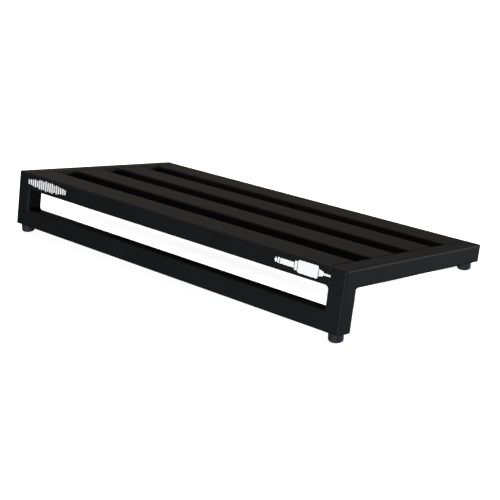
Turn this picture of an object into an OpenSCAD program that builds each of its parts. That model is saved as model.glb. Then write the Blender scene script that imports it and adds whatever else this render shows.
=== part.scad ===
// Sloped pedalboard: a welded aluminium deck of four cross rails on two side
// frames, with tall legs at the back and rubber feet under the four corners.
//
// The player stands at -Y, in front of the low edge, and faces +Y. Left and
// right are the player's. The origin is on the floor, at the centre of the
// space that the board takes up.
//
// Most sub-parts are drawn in deck coordinates: X to the right, Y from the low
// edge towards the tall one, Z square to the deck, with the origin at the
// middle of the deck's rear top edge. on_deck() tilts and lifts them into place.

/* [Frame] */
// Length from side to side
length = 609.6; // [450:0.1:900]
// Depth of the deck along its slope
deck_depth = 317.5; // [280:0.1:420]
// Height of the rear legs, from the deck's top, square to the deck
leg_height = 81.6; // [72:0.1:140]

/* [Tubes] */
// Width of each cross rail's top
rail_width = 50.8; // [40:0.1:60]
// Thickness of every tube, from its top to its underside
tube_depth = 25.4; // [22:0.1:30]
// Width of the side rails, the legs and the lower rear rail
side_width = 25.4; // [22:0.1:32]
// Wall thickness of every tube
wall = 1.6; // [1.2:0.1:2.5]
// Radius of the tubes' long edges
edge_r = 3.2; // [2.6:0.1:4]
// Radius of the side frames' upper rear corners
knee_r = 3.5; // [2:0.1:4]
// Fit-up gap between a cross rail's end and the side rail
end_gap = 1.4; // [0.4:0.1:1.6]

/* [End plates] */
// Thickness of the plates that close the tubes
plate_t = 3.2; // [3:0.1:5]
// Rounding of the plates at the low end of the side rails
front_plate_r = 2.2; // [1:0.1:2.5]
// Rounding of the plates under the legs
leg_plate_r = 3; // [1:0.1:3]

/* [Welds] */
// Radius of the beads round the cross rails' ends
bead_r = 3.4; // [2.5:0.1:4]
// Fillet between each leg and its side rail
knee_fillet = 8.5; // [4:0.5:12]
// Fillets in the corners of the rear window
window_fillet = 4; // [2:0.5:6]
// Length of the tack that crosses the deck groove at a rail's corner
tack_length = 6; // [3:0.5:12]
// How far the tacks lie below the deck's top
tack_sink = 0.3; // [0.1:0.1:0.8]
// How far the beads stand into the gaps between rails
bead_out = 2.4; // [1:0.1:3]

/* [Feet] */
// Diameter of a foot
foot_d = 19; // [17:0.5:20]
// Height of a foot on its own axis
foot_height = 10.4; // [10:0.1:16]
// Rounding of a foot's lower edge
foot_edge_r = 2.6; // [1:0.1:3]
// Distance from the side of the board to a foot's axis
foot_side_in = 12.7; // [12:0.1:16]
// Distance from the tall face to a rear foot's axis
rear_foot_in = 12.7; // [11:0.1:14]
// Distance from the low edge to a front foot's axis
front_foot_in = 16.5; // [13:0.1:30]

/* [Foot hardware] */
// Screw size
screw_d = 4; // [3:0.5:4]
// Screw length under its head
screw_length = 12; // [10:1:16]
// Diameter of the screw's pan head
head_d = 8; // [6:0.1:8]
// Height of the screw's pan head
head_h = 2.6; // [2:0.1:3]
// Diameter of the washer
washer_d = 8.6; // [8:0.1:8.8]
// Thickness of the washer
washer_t = 0.8; // [0.5:0.1:1]
// Rubber between the frame and the washer
foot_floor_t = 3.4; // [3:0.1:4]
// Diameter of the rivet nut's shank
rivet_d = 6; // [5:0.1:6]
// Length of the rivet nut behind its flange
rivet_length = 11; // [9:0.5:14]

/* [Print] */
// Thickness of the white ink
ink_t = 0.2; // [0.1:0.05:0.3]
// Height of the printed marks
mark_height = 16; // [8:0.5:18]
// Number of bars in the sound-wave mark
bar_count = 18; // [8:1:20]
// Distance between the bars
bar_pitch = 4.8; // [3.4:0.1:5]
// Width of one bar
bar_width = 3; // [1:0.1:3.2]
// Length of the jack-plug mark
plug_length = 86; // [70:1:100]
// Distance from the side of the board to each mark
mark_side_in = 23; // [20:1:60]

/* [Hidden] */
$fn = 48;
// Size of a half space
big = 1000;
// How far a cutting shape runs past the face that it cuts
cut = 1;

// Deck layout
rail_gap = (deck_depth - 4 * rail_width) / 3;
rail_pitch = rail_width + rail_gap;
rail_length = length - 2 * (side_width + end_gap);
inner_half = length / 2 - side_width;
LEFT = -1;
RIGHT = 1;

// Tilt of the deck, so that all four equal feet stand on the floor
foot_spread = deck_depth - rear_foot_in - front_foot_in;
tilt = atan((leg_height - tube_depth) / foot_spread);

// Height of the deck's rear top edge above the floor
deck_z = foot_height + rear_foot_in * sin(tilt) + leg_height * cos(tilt);

// Shift that centres the board over the origin, front to back
rear_reach = (leg_height - leg_plate_r) * sin(tilt) - leg_plate_r * cos(tilt) + leg_plate_r;
front_reach = (deck_depth - front_plate_r) * cos(tilt) - front_plate_r * sin(tilt) + front_plate_r;
shift_y = (front_reach - rear_reach) / 2;

// The bead under a rail's end fills the end gap and the side rail's rounded
// edge, and sags a little below them
seam_half = (end_gap + edge_r) / 2;
bead_sag = 0.9 * (bead_r - sqrt(bead_r * bead_r - seam_half * seam_half));
// A tack starts a little way in from the rail's corner
tack_in = 1;
// The beads beside a rail stop short of its top and its underside
bead_top = 2.5;
bead_bottom = 1.2;

// A screw passes through its foot's axis half-way up the foot
screw_lean = foot_height / 2 * sin(tilt);
foot_recess_d = 9.2;
// Rounding and cross recess of the screw's head
head_round = 1.2;
cross_length = 4.4;
cross_width = 0.9;
cross_depth = 0.6 * head_h;
// Rivet nut: its flange, and the bulge that forms behind the wall
flange_d = 9;
flange_t = 0.8;
bulge_d = 8.4;
bulge_h = 3;
// Clearances on diameter: holes round the rivet nut, its thread, the washer, the foot
hole_clearance = 0.2;
thread_clearance = 0.1;
washer_clearance = 0.3;
foot_clearance = 0.4;

// Sound-wave mark: share of its height in the shortest bar, share that the
// beat takes off the others, and the beat's step from bar to bar, in degrees
bar_floor = 0.42;
beat_share = 0.5;
beat_step = 67;
// Jack-plug mark: its parts, from the cable to the tip
mark_gap = 1;
cable_mark = [0.12 * plug_length, 2.6];
relief_length = 7;
relief_heights = [5.2, 8.8];
body_mark = [0.36 * plug_length, mark_height];
body_mark_r = 2.4;
collar_mark = [4, 0.72 * mark_height];
contact_height = 0.44 * mark_height;
ring_length = 3;
tip_length = 4;

// ---------------------------------------------------------------- placing

module on_deck() {
    translate([0, shift_y, deck_z]) rotate([tilt, 0, 0]) children();
}

// Lays an outline drawn in deck Y and Z along X, centred on x = 0
module along_x(span) {
    rotate([90, 0, 90]) linear_extrude(height = span, center = true) children();
}

// ---------------------------------------------------------------- outlines

// Rectangle with true round corners, its lower left corner at the origin
module rounded_box_2d(w, h, r) {
    translate([r, 0]) square([w - 2 * r, h]);
    translate([0, r]) square([w, h - 2 * r]);
    for (x = [r, w - r], y = [r, h - r]) translate([x, y]) circle(r);
}

module tube_2d(w, h) {
    difference() {
        rounded_box_2d(w, h, edge_r);
        translate([wall, wall]) rounded_box_2d(w - 2 * wall, h - 2 * wall, edge_r - wall);
    }
}

// What a round-over of radius r takes off a square corner at the origin whose
// solid lies towards +X and +Y
module corner_waste_2d(r) {
    difference() {
        translate([-cut, -cut]) square(r + cut);
        translate([r, r]) circle(r);
    }
}

// Concave fillet for an inside corner at the origin, open towards +X and +Y
module fillet_2d(r) {
    difference() {
        square(r);
        translate([r, r]) circle(r);
    }
}

// ---------------------------------------------------------------- tubes

// Outline of cross rail number i, counted from the tall edge, in deck Y and Z
module rail_outline(i) {
    translate([-i * rail_pitch - rail_width, -tube_depth]) children();
}

module cross_rail(i) {
    on_deck() along_x(rail_length) rail_outline(i) tube_2d(rail_width, tube_depth);
}

// Outline of the lower rear rail, flush with the legs' lower ends
module lower_rail_outline() {
    translate([-tube_depth, -leg_height]) children();
}

module rear_bottom_rail() {
    on_deck() along_x(2 * inner_half) lower_rail_outline() tube_2d(tube_depth, side_width);
}

// Tube of one side rail, before its mitre, with its outer side at x = 0
module side_tube() {
    rotate([90, 0, 0]) linear_extrude(height = deck_depth - plate_t)
        translate([0, -tube_depth]) children();
}

// Tube of one leg, before its mitre, with its outer side at x = 0
module leg_tube(drop) {
    translate([0, -tube_depth, -drop]) linear_extrude(height = drop) children();
}

// Puts a piece whose outer side is at x = 0 on the left or the right side
module at_side(side) {
    if (side == LEFT) translate([-length / 2, 0, 0]) children();
    else translate([length / 2, 0, 0]) mirror([1, 0, 0]) children();
}

// Half space below or above the mitre through the upper rear corner
module mitre_block(for_leg) {
    rotate([for_leg ? 45 : 225, 0, 0]) translate([-big / 2, -big / 2, -big]) cube(big);
}

module knee_waste() {
    rotate([90, 0, 90]) linear_extrude(height = 3 * side_width, center = true)
        rotate(180) corner_waste_2d(knee_r);
}

// A foot's screw hole in the wall that it fastens to
module screw_hole(y, z) {
    translate([foot_side_in, y - screw_lean, z])
        cylinder(d = rivet_d + hole_clearance, h = 4 * plate_t, center = true);
}

module side_rail(side) {
    on_deck() at_side(side) difference() {
        intersection() {
            side_tube() tube_2d(side_width, tube_depth);
            mitre_block(false);
        }
        knee_waste();
        screw_hole(-deck_depth + front_foot_in, -tube_depth);
    }
}

module leg(side) {
    on_deck() at_side(side) difference() {
        intersection() {
            leg_tube(leg_height - plate_t) tube_2d(side_width, tube_depth);
            mitre_block(true);
        }
        knee_waste();
    }
}

// ---------------------------------------------------------------- end plates

module front_plate(side) {
    on_deck() at_side(side) difference() {
        translate([0, -deck_depth + plate_t, 0]) rotate([90, 0, 0]) linear_extrude(height = plate_t)
            translate([0, -tube_depth]) rounded_box_2d(side_width, tube_depth, edge_r);
        // Rounded top, bottom and outer edges
        translate([0, -deck_depth, 0]) rotate([90, 0, 90])
            linear_extrude(height = 3 * side_width, center = true) {
                mirror([0, 1]) corner_waste_2d(front_plate_r);
                translate([0, -tube_depth]) corner_waste_2d(front_plate_r);
            }
        translate([0, -deck_depth, -tube_depth / 2])
            linear_extrude(height = 2 * tube_depth, center = true) corner_waste_2d(front_plate_r);
    }
}

module leg_plate(side) {
    on_deck() at_side(side) difference() {
        translate([0, -tube_depth, -leg_height]) linear_extrude(height = plate_t)
            rounded_box_2d(side_width, tube_depth, edge_r);
        // Rounded rear, front and outer edges
        translate([0, 0, -leg_height]) rotate([90, 0, 90])
            linear_extrude(height = 3 * side_width, center = true) {
                mirror([1, 0]) corner_waste_2d(leg_plate_r);
                translate([-tube_depth, 0]) corner_waste_2d(leg_plate_r);
            }
        translate([0, 0, -leg_height]) rotate([90, 0, 0])
            linear_extrude(height = 3 * tube_depth, center = true) corner_waste_2d(leg_plate_r);
        screw_hole(-rear_foot_in, -leg_height);
    }
}

// ---------------------------------------------------------------- welds

// Outer shape of one side frame, which no weld may enter
module side_frame_shape() {
    difference() {
        union() {
            intersection() {
                side_tube() rounded_box_2d(side_width, tube_depth, edge_r);
                mitre_block(false);
            }
            intersection() {
                leg_tube(leg_height) rounded_box_2d(side_width, tube_depth, edge_r);
                mitre_block(true);
            }
        }
        knee_waste();
    }
}

// Rail outline drawn solid from the rail's end to just inside the side rail
module rail_end_fill() {
    rotate([90, 0, 90]) linear_extrude(height = end_gap + edge_r) children();
}

// Slab from the rail's end to the side rail, from y onwards, just below the deck
module seam_slab(y, depth) {
    translate([-cut, y, -tube_depth]) cube([big, depth, tube_depth - tack_sink]);
}

// Upright bead of height h with rounded ends
module round_bead(h) {
    rotate_extrude() intersection() {
        translate([0, bead_r]) {
            circle(bead_r);
            translate([-bead_r, 0]) square([2 * bead_r, h - 2 * bead_r]);
            translate([0, h - 2 * bead_r]) circle(bead_r);
        }
        square([bead_r, h]);
    }
}

// Beads round the end of cross rail i. x = 0 is the rail's end plane
module rail_end_beads(i) {
    y_rear = -i * rail_pitch;
    y_front = y_rear - rail_width;
    // Across the underside
    translate([seam_half, (y_rear + y_front) / 2, -tube_depth + bead_r - bead_sag])
        rotate([90, 0, 0]) cylinder(r = bead_r, h = rail_width, center = true);
    // Down the sides that face a gap between rails
    for (y = [if (i > 0) y_rear - bead_r + bead_out, if (i < 3) y_front + bead_r - bead_out])
        translate([end_gap / 2, y, -tube_depth + bead_bottom])
            round_bead(tube_depth - bead_bottom - bead_top);
    // Flush seams at the tall face and the low edge, and a tack across the deck
    // groove at each middle rail's rear corner
    intersection() {
        rail_end_fill() rail_outline(i) rounded_box_2d(rail_width, tube_depth, edge_r);
        union() {
            if (i == 0) seam_slab(y_rear - edge_r, edge_r);
            else if (i < 3) translate([seam_half, y_rear - tack_in - tack_length / 2, -tube_depth])
                cylinder(d = tack_length, h = tube_depth - tack_sink);
            else seam_slab(y_front, plate_t);
        }
    }
}

module rail_welds(side) {
    on_deck() at_side(side) difference() {
        for (i = [0:3]) translate([side_width + end_gap, 0, 0]) mirror([1, 0, 0]) difference() {
            rail_end_beads(i);
            translate([-big, 0, 0]) rotate([90, 0, 90]) linear_extrude(height = big)
                rail_outline(i) rounded_box_2d(rail_width, tube_depth, edge_r);
        }
        side_frame_shape();
    }
}

module knee_weld(side) {
    on_deck() at_side(side) translate([edge_r, -tube_depth, -tube_depth]) rotate([90, 0, 90])
        linear_extrude(height = side_width - 2 * edge_r) rotate(180) fillet_2d(knee_fillet);
}

// One fillet across the tube, at a corner of the rear window
module window_corner(z, upwards) {
    translate([side_width, -edge_r / 2, z]) rotate([90, 0, 0])
        linear_extrude(height = tube_depth - edge_r) mirror([0, upwards ? 0 : 1])
            fillet_2d(window_fillet);
}

// Flush seam between the leg and the lower rear rail
module lower_seam() {
    difference() {
        translate([side_width, 0, 0]) mirror([1, 0, 0]) rotate([90, 0, 90])
            linear_extrude(height = edge_r) lower_rail_outline()
                rounded_box_2d(tube_depth, side_width, edge_r);
        translate([0, -tube_depth + edge_r, -leg_height - cut])
            cube([big, tube_depth - 2 * edge_r, leg_height]);
        leg_tube(leg_height + cut) rounded_box_2d(side_width, tube_depth, edge_r);
    }
}

module window_welds(side) {
    on_deck() at_side(side) {
        window_corner(-leg_height + side_width, true);
        window_corner(-tube_depth, false);
        lower_seam();
    }
}

// ---------------------------------------------------------------- feet

// Where a foot meets the frame: [x, y, z] in deck coordinates
function foot_point(side, rear) = [
    side * (length / 2 - foot_side_in),
    rear ? -rear_foot_in : -deck_depth + front_foot_in,
    rear ? -leg_height : -tube_depth
];

// Runs square to the deck, through the foot's screw, from the frame downwards
module on_screw(side, rear) {
    on_deck() translate(foot_point(side, rear) - [0, screw_lean, 0]) children();
}

module foot(side, rear) {
    p = foot_point(side, rear);
    foot_y = shift_y + p.y * cos(tilt) - p.z * sin(tilt);
    color("#2b2e33") difference() {
        translate([p.x, foot_y, 0]) rotate_extrude() difference() {
            square([foot_d / 2, 2 * foot_height]);
            translate([foot_d / 2, 0]) mirror([1, 0]) corner_waste_2d(foot_edge_r);
        }
        // The top is cut to lie against the sloping frame
        on_deck() translate([p.x - foot_d, p.y - foot_d, p.z]) cube([2 * foot_d, 2 * foot_d, 3 * foot_d]);
        on_screw(side, rear) {
            translate([0, 0, -2 * foot_height])
                cylinder(d = foot_recess_d, h = 2 * foot_height - foot_floor_t);
            translate([0, 0, -foot_floor_t - cut])
                cylinder(d = screw_d + foot_clearance, h = foot_floor_t + 2 * cut);
            translate([0, 0, -flange_t]) cylinder(d = flange_d + hole_clearance, h = flange_t + cut);
        }
    }
}

module foot_washer(side, rear) {
    color("#8d9095") on_screw(side, rear) translate([0, 0, -foot_floor_t - washer_t]) difference() {
        cylinder(d = washer_d, h = washer_t);
        translate([0, 0, -cut]) cylinder(d = screw_d + washer_clearance, h = washer_t + 2 * cut);
    }
}

// Pan head with a rounded edge and a cross recess, its underside at z = head_h
module pan_head() {
    difference() {
        rotate_extrude() difference() {
            square([head_d / 2, head_h]);
            translate([head_d / 2, 0]) mirror([1, 0]) corner_waste_2d(head_round);
        }
        for (a = [0, 90]) rotate(a) translate([-cross_length / 2, -cross_width / 2, -cut])
            cube([cross_length, cross_width, cross_depth + cut]);
    }
}

module foot_screw(side, rear) {
    shank_root = head_h / 4;
    color("#7f8287") on_screw(side, rear) translate([0, 0, -foot_floor_t - washer_t]) {
        translate([0, 0, -head_h]) pan_head();
        translate([0, 0, -shank_root]) cylinder(d = screw_d, h = screw_length + shank_root);
    }
}

module rivet_nut(side, rear) {
    skin = rear ? plate_t : wall;
    color("#a3a6aa") on_screw(side, rear) difference() {
        union() {
            translate([0, 0, -flange_t]) cylinder(d = flange_d, h = flange_t);
            cylinder(d = rivet_d, h = rivet_length);
            translate([0, 0, skin]) cylinder(d = bulge_d, h = bulge_h);
        }
        translate([0, 0, -flange_t - cut])
            cylinder(d = screw_d + thread_clearance, h = rivet_length + flange_t + 2 * cut);
    }
}

// ---------------------------------------------------------------- print

// Lays ink on the tall face. Drawn with X to the reader's right and Y up the
// face, with the origin at the middle of the upper rear rail's rear side
module on_tall_face() {
    on_deck() translate([0, 0, -tube_depth / 2]) rotate([90, 0, 180]) linear_extrude(height = ink_t)
        children();
}

function bar_height(i) =
    let (swell = sin(180 * (i + 0.5) / bar_count), beat = abs(cos(i * beat_step)))
    mark_height * (bar_floor + (1 - bar_floor) * swell * (1 - beat_share + beat_share * beat));

// Upright bar with round ends, centred on the origin
module wave_bar(h) {
    square([bar_width, h - bar_width], center = true);
    for (s = [-1, 1]) translate([0, s * (h - bar_width) / 2]) circle(d = bar_width);
}

module wave_print() {
    color("white") on_tall_face() translate([-length / 2 + mark_side_in, 0])
        for (i = [0:bar_count - 1])
            translate([bar_width / 2 + i * bar_pitch, 0]) wave_bar(bar_height(i));
}

// Strip of height h, centred on y = 0
module strip(from, to, h) {
    translate([from, -h / 2]) square([to - from, h]);
}

// A jack plug seen from the side, from its cable's end at x = 0 to its tip
module plug_mark_2d() {
    relief_end = cable_mark.x + relief_length;
    body_end = relief_end + mark_gap + body_mark.x;
    collar_end = body_end + mark_gap + collar_mark.x;
    tip_start = plug_length - tip_length;
    ring_start = tip_start - mark_gap - ring_length;
    tip_shoulder = tip_start + 0.4 * tip_length;
    strip(0, cable_mark.x, cable_mark.y);
    polygon([
        [cable_mark.x, -relief_heights[0] / 2], [relief_end, -relief_heights[1] / 2],
        [relief_end, relief_heights[1] / 2], [cable_mark.x, relief_heights[0] / 2]
    ]);
    translate([relief_end + mark_gap, -body_mark.y / 2])
        rounded_box_2d(body_mark.x, body_mark.y, body_mark_r);
    strip(body_end + mark_gap, collar_end, collar_mark.y);
    strip(collar_end + mark_gap, ring_start - mark_gap, contact_height);
    strip(ring_start, ring_start + ring_length, contact_height);
    polygon([
        [tip_start, -0.3 * contact_height], [tip_shoulder, -contact_height / 2], [plug_length, 0],
        [tip_shoulder, contact_height / 2], [tip_start, 0.3 * contact_height]
    ]);
}

module plug_print() {
    color("white") on_tall_face() translate([length / 2 - mark_side_in, 0])
        mirror([1, 0]) plug_mark_2d();
}

// ---------------------------------------------------------------- sub-parts

module coated() { color("#26272a") children(); }

coated() cross_rail(0);  // rear_top_rail
coated() cross_rail(1);  // rear_middle_rail
coated() cross_rail(2);  // front_middle_rail
coated() cross_rail(3);  // front_rail
coated() rear_bottom_rail();
coated() side_rail(LEFT);  // left_side_rail
coated() side_rail(RIGHT);  // right_side_rail
coated() leg(LEFT);  // left_leg
coated() leg(RIGHT);  // right_leg
coated() front_plate(LEFT);  // left_front_plate
coated() front_plate(RIGHT);  // right_front_plate
coated() leg_plate(LEFT);  // left_leg_plate
coated() leg_plate(RIGHT);  // right_leg_plate
coated() rail_welds(LEFT);  // left_rail_welds
coated() rail_welds(RIGHT);  // right_rail_welds
coated() knee_weld(LEFT);  // left_knee_weld
coated() knee_weld(RIGHT);  // right_knee_weld
coated() window_welds(LEFT);  // left_window_welds
coated() window_welds(RIGHT);  // right_window_welds
foot(LEFT, true);  // rear_left_foot
foot(RIGHT, true);  // rear_right_foot
foot(LEFT, false);  // front_left_foot
foot(RIGHT, false);  // front_right_foot
foot_washer(LEFT, true);  // rear_left_washer
foot_washer(RIGHT, true);  // rear_right_washer
foot_washer(LEFT, false);  // front_left_washer
foot_washer(RIGHT, false);  // front_right_washer
foot_screw(LEFT, true);  // rear_left_screw
foot_screw(RIGHT, true);  // rear_right_screw
foot_screw(LEFT, false);  // front_left_screw
foot_screw(RIGHT, false);  // front_right_screw
rivet_nut(LEFT, true);  // rear_left_rivet_nut
rivet_nut(RIGHT, true);  // rear_right_rivet_nut
rivet_nut(LEFT, false);  // front_left_rivet_nut
rivet_nut(RIGHT, false);  // front_right_rivet_nut
wave_print();
plug_print();
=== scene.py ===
"""Looks of a sloped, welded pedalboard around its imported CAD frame: powder-coated aluminium, rubber feet,
plated screws and printed marks, on a plain white studio floor.
In metres, with +X to the player's right and +Y towards the tall edge."""
import math

import bpy
from mathutils import Matrix, Vector


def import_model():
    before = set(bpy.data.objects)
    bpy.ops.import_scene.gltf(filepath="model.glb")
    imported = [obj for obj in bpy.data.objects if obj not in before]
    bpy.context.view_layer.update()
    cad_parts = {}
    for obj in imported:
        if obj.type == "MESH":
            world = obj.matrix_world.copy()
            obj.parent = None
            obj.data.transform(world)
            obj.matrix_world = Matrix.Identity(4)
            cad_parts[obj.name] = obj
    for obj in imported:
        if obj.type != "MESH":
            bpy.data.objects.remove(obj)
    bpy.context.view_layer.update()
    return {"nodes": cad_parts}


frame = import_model()

MM = 0.001

# Noise scales, in cells per metre
COAT_GRAIN = 1500
ORANGE_PEEL = 420
COAT_PATCHES = 14
RUBBER_PORES = 2600
RUBBER_SMEARS = 60
PLATE_SCRATCHES = 900
TURNING_MARKS = 1400
FLOOR_PATCHES = 3

# Settings of the wave texture on the weld beads; its period is about 1.8 mm
WELD_RIPPLES = {"Scale": 350.0, "Distortion": 2.0, "Detail": 2.0, "Detail Scale": 1.2}

# The photograph's viewpoint
CAMERA_PLACE = (-0.9946, 1.1051, 0.5863)
CAMERA_AIM = (-0.0949, 0.0809, 0.0450)
CAMERA_ROLL = -0.508        # degrees
CAMERA_LENS = 78.97         # mm, on a sensor 36 mm wide
SENSOR_WIDTH = 36

FLOOR_HALF = 12.0
FLOOR_GLOW = 0.88
WHITE = (1, 1, 1)

CORNERS = ("rear_left", "rear_right", "front_left", "front_right")
TUBES = ("rear_top_rail", "rear_middle_rail", "front_middle_rail", "front_rail", "rear_bottom_rail",
         "left_side_rail", "right_side_rail", "left_leg", "right_leg")
PLATES = ("left_front_plate", "right_front_plate", "left_leg_plate", "right_leg_plate")
WELDS = ("left_rail_welds", "right_rail_welds", "left_knee_weld", "right_knee_weld",
         "left_window_welds", "right_window_welds")
PRINTS = ("wave_print", "plug_print")


# ---------------------------------------------------------------- node helpers

class Nodes:
    """A short way to write a material's node tree."""

    def __init__(self, name):
        self.material = bpy.data.materials.new(name)
        self.material.use_nodes = True
        self.tree = self.material.node_tree
        self.shader = self.tree.nodes["Principled BSDF"]
        self.place = self.add("ShaderNodeTexCoord").outputs["Object"]

    def add(self, kind, **settings):
        node = self.tree.nodes.new(kind)
        for key, value in settings.items():
            setattr(node, key, value)
        return node

    def link(self, source, target):
        self.tree.links.new(source, target)

    def put(self, **values):
        """Sets the shader's own sockets; the names use _ for a space."""
        for key, value in values.items():
            self.shader.inputs[key.replace("_", " ")].default_value = value

    def noise(self, scale, detail=2.0, roughness=0.5):
        node = self.add("ShaderNodeTexNoise")
        self.link(self.place, node.inputs["Vector"])
        node.inputs["Scale"].default_value = scale
        node.inputs["Detail"].default_value = detail
        node.inputs["Roughness"].default_value = roughness
        return node.outputs["Fac"]

    def remap(self, value, low, high, to_low, to_high):
        node = self.add("ShaderNodeMapRange")
        self.link(value, node.inputs["Value"])
        for key, number in (("From Min", low), ("From Max", high), ("To Min", to_low), ("To Max", to_high)):
            node.inputs[key].default_value = number
        return node.outputs["Result"]

    def ramp(self, value, *stops):
        """stops are (position, (r, g, b))."""
        node = self.add("ShaderNodeValToRGB")
        self.link(value, node.inputs["Fac"])
        elements = node.color_ramp.elements
        while len(elements) < len(stops):
            elements.new(1.0)
        for element, (position, colour) in zip(elements, stops):
            element.position = position
            element.color = (*colour, 1.0)
        return node.outputs["Color"]

    def bump(self, height, distance, strength=1.0, below=None):
        node = self.add("ShaderNodeBump")
        node.inputs["Strength"].default_value = strength
        node.inputs["Distance"].default_value = distance
        self.link(height, node.inputs["Height"])
        if below is not None:
            self.link(below, node.inputs["Normal"])
        return node.outputs["Normal"]

    def to_shader(self, **sockets):
        for key, output in sockets.items():
            self.link(output, self.shader.inputs[key.replace("_", " ")])


def give(material, *names):
    for name in names:
        slots = frame["nodes"][name].data.materials
        slots.clear()
        slots.append(material)


# ---------------------------------------------------------------- materials

def weld_ripples(n):
    """Overlapping ripples along every bead, slanted so that they cross beads that run either way."""
    ripples = n.add("ShaderNodeTexWave", wave_type="BANDS", bands_direction="DIAGONAL", wave_profile="SAW")
    n.link(n.place, ripples.inputs["Vector"])
    for key, value in WELD_RIPPLES.items():
        ripples.inputs[key].default_value = value
    return n.bump(ripples.outputs["Fac"], distance=0.6 * MM)


def powder_coat(name, welded=False):
    """Satin black powder coat: fine grain over a slight orange peel, patchy in gloss and colour."""
    n = Nodes(name)
    n.put(Specular_IOR_Level=0.10, IOR=1.5)
    grain = n.noise(COAT_GRAIN, detail=3, roughness=0.6)
    peel = n.noise(ORANGE_PEEL)
    patches = n.noise(COAT_PATCHES, detail=3, roughness=0.6)
    relief = n.bump(peel, distance=0.08 * MM, strength=0.4, below=weld_ripples(n) if welded else None)
    n.to_shader(
        Base_Color=n.ramp(patches, (0.3, (0.0060, 0.0064, 0.0070)), (0.7, (0.0078, 0.0083, 0.0090))),
        Roughness=n.remap(patches, 0.3, 0.7, 0.51, 0.58),
        Normal=n.bump(grain, distance=0.03 * MM, strength=0.5, below=relief),
    )
    return n.material


def rubber():
    """Matt moulded rubber: fine pores, and smears in its colour and gloss."""
    n = Nodes("moulded_rubber")
    n.put(Specular_IOR_Level=0.3)
    pores = n.noise(RUBBER_PORES)
    smears = n.noise(RUBBER_SMEARS, detail=4, roughness=0.6)
    n.to_shader(
        Base_Color=n.ramp(smears, (0.35, (0.010, 0.0115, 0.014)), (0.7, (0.016, 0.018, 0.022))),
        Roughness=n.remap(smears, 0.3, 0.7, 0.55, 0.7),
        Normal=n.bump(pores, distance=0.05 * MM, strength=0.5),
    )
    return n.material


def plated_steel():
    """Zinc-plated screws and washers, finely scratched."""
    n = Nodes("zinc_plate")
    n.put(Metallic=1.0)
    scratches = n.noise(PLATE_SCRATCHES, detail=4, roughness=0.7)
    n.to_shader(
        Base_Color=n.ramp(scratches, (0.3, (0.42, 0.43, 0.45)), (0.7, (0.62, 0.63, 0.64))),
        Roughness=n.remap(scratches, 0.3, 0.7, 0.25, 0.45),
        Normal=n.bump(scratches, distance=0.02 * MM, strength=0.4),
    )
    return n.material


def turned_aluminium():
    """Plain rivet nuts, with fine variation in colour and gloss."""
    n = Nodes("turned_aluminium")
    n.put(Metallic=1.0)
    marks = n.noise(TURNING_MARKS, detail=3, roughness=0.6)
    n.to_shader(
        Base_Color=n.ramp(marks, (0.3, (0.58, 0.58, 0.59)), (0.7, (0.72, 0.72, 0.73))),
        Roughness=n.remap(marks, 0.3, 0.7, 0.3, 0.5),
    )
    return n.material


def ink():
    """Screen-printed white: even, with a trace of the coat's grain showing through."""
    n = Nodes("screen_ink")
    n.put(Specular_IOR_Level=0.3)
    grain = n.noise(COAT_GRAIN, detail=3, roughness=0.6)
    n.to_shader(
        Base_Color=n.ramp(grain, (0.3, (0.84, 0.85, 0.86)), (0.65, (0.92, 0.92, 0.92))),
        Roughness=n.remap(grain, 0.3, 0.7, 0.45, 0.6),
        Normal=n.bump(grain, distance=0.03 * MM, strength=0.4),
    )
    return n.material


give(powder_coat("powder_coat"), *TUBES)
give(powder_coat("powder_coat_plates"), *PLATES)
give(powder_coat("powder_coat_welds", welded=True), *WELDS)
give(rubber(), *(corner + "_foot" for corner in CORNERS))
give(plated_steel(), *(corner + part for corner in CORNERS for part in ("_screw", "_washer")))
give(turned_aluminium(), *(corner + "_rivet_nut" for corner in CORNERS))
give(ink(), *PRINTS)


# ---------------------------------------------------------------- studio

def floor():
    """A plain white floor, whose far edge shows only in low views. It glows, so that its shadows stay pale,
    and it throws no light back on the object, as the photograph's dark faces show none."""
    n = Nodes("studio_floor")
    n.put(Roughness=0.9, Specular_IOR_Level=0.0, Emission_Color=(*WHITE, 1), Emission_Strength=FLOOR_GLOW)
    tone = n.noise(FLOOR_PATCHES)
    n.to_shader(Base_Color=n.ramp(tone, (0.3, (0.86, 0.86, 0.86)), (0.7, (0.88, 0.88, 0.88))))
    corners = [(x * FLOOR_HALF, y * FLOOR_HALF, 0) for x, y in ((-1, -1), (1, -1), (1, 1), (-1, 1))]
    mesh = bpy.data.meshes.new("floor")
    mesh.from_pydata(corners, [], [(0, 1, 2, 3)])
    mesh.materials.append(n.material)
    plane = bpy.data.objects.new("floor", mesh)
    plane.visible_diffuse = plane.visible_glossy = False
    bpy.context.scene.collection.objects.link(plane)


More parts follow.
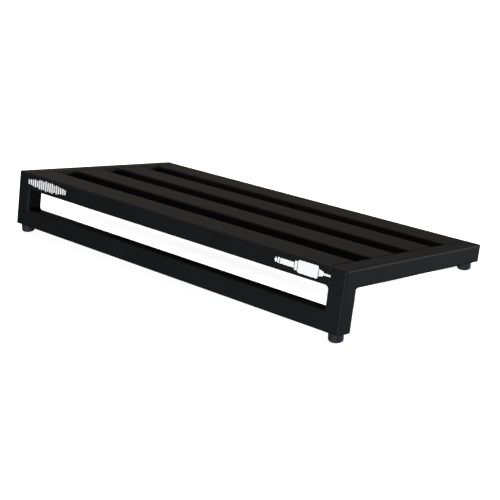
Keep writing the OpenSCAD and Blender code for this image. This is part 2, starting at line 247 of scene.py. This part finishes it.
def softbox(name, place, size, power, aim=(0, 0, 0.05), colour=WHITE):
    """A rectangular light, power in watts, that the camera doesn't see."""
    light = bpy.data.lights.new(name, "AREA")
    light.shape = "RECTANGLE"
    light.size, light.size_y = size
    light.energy = power
    light.color = colour
    lamp = bpy.data.objects.new(name, light)
    lamp.location = place
    lamp.rotation_euler = (Vector(aim) - Vector(place)).to_track_quat("-Z", "Y").to_euler()
    lamp.visible_camera = False
    bpy.context.scene.collection.objects.link(lamp)


def world(colour, strength):
    backdrop = bpy.data.worlds.new("studio")
    backdrop.use_nodes = True
    background = backdrop.node_tree.nodes["Background"]
    background.inputs["Color"].default_value = (*colour, 1)
    background.inputs["Strength"].default_value = strength
    bpy.context.scene.world = backdrop


def camera():
    place, aim = Vector(CAMERA_PLACE), Vector(CAMERA_AIM)
    lens = bpy.data.cameras.new("camera")
    lens.sensor_width = SENSOR_WIDTH
    lens.lens = CAMERA_LENS
    eye = bpy.data.objects.new("camera", lens)
    level = (aim - place).to_track_quat("-Z", "Y").to_matrix()
    roll = Matrix.Rotation(math.radians(CAMERA_ROLL), 3, "Z")
    eye.matrix_world = Matrix.Translation(place) @ (level @ roll).to_4x4()
    bpy.context.scene.collection.objects.link(eye)
    bpy.context.scene.camera = eye


floor()
world(colour=(0.96, 0.98, 1.0), strength=0.07)
softbox("overhead", place=(0.0, -0.3, 2.2), size=(1.6, 1.6), power=50,
        aim=(0, 0, 0), colour=(1.0, 0.90, 0.78))
softbox("key", place=(-1.2, 2.8, 0.22), size=(1.8, 0.36), power=88,
        aim=(0, 0.1, 0.06), colour=(0.95, 0.98, 1.0))
softbox("left_panel", place=(-1.9, -1.45, 0.21), size=(1.8, 0.38), power=46, colour=(0.91, 0.955, 1.0))
softbox("right_panel", place=(3.0, -0.4, 0.4), size=(1.4, 0.6), power=30)
softbox("far_panel", place=(2.4, -2.0, 0.8), size=(3.0, 1.2), power=2.6, colour=(1.0, 0.78, 0.54))
camera()
bpy.context.scene.view_settings.view_transform = "Standard"
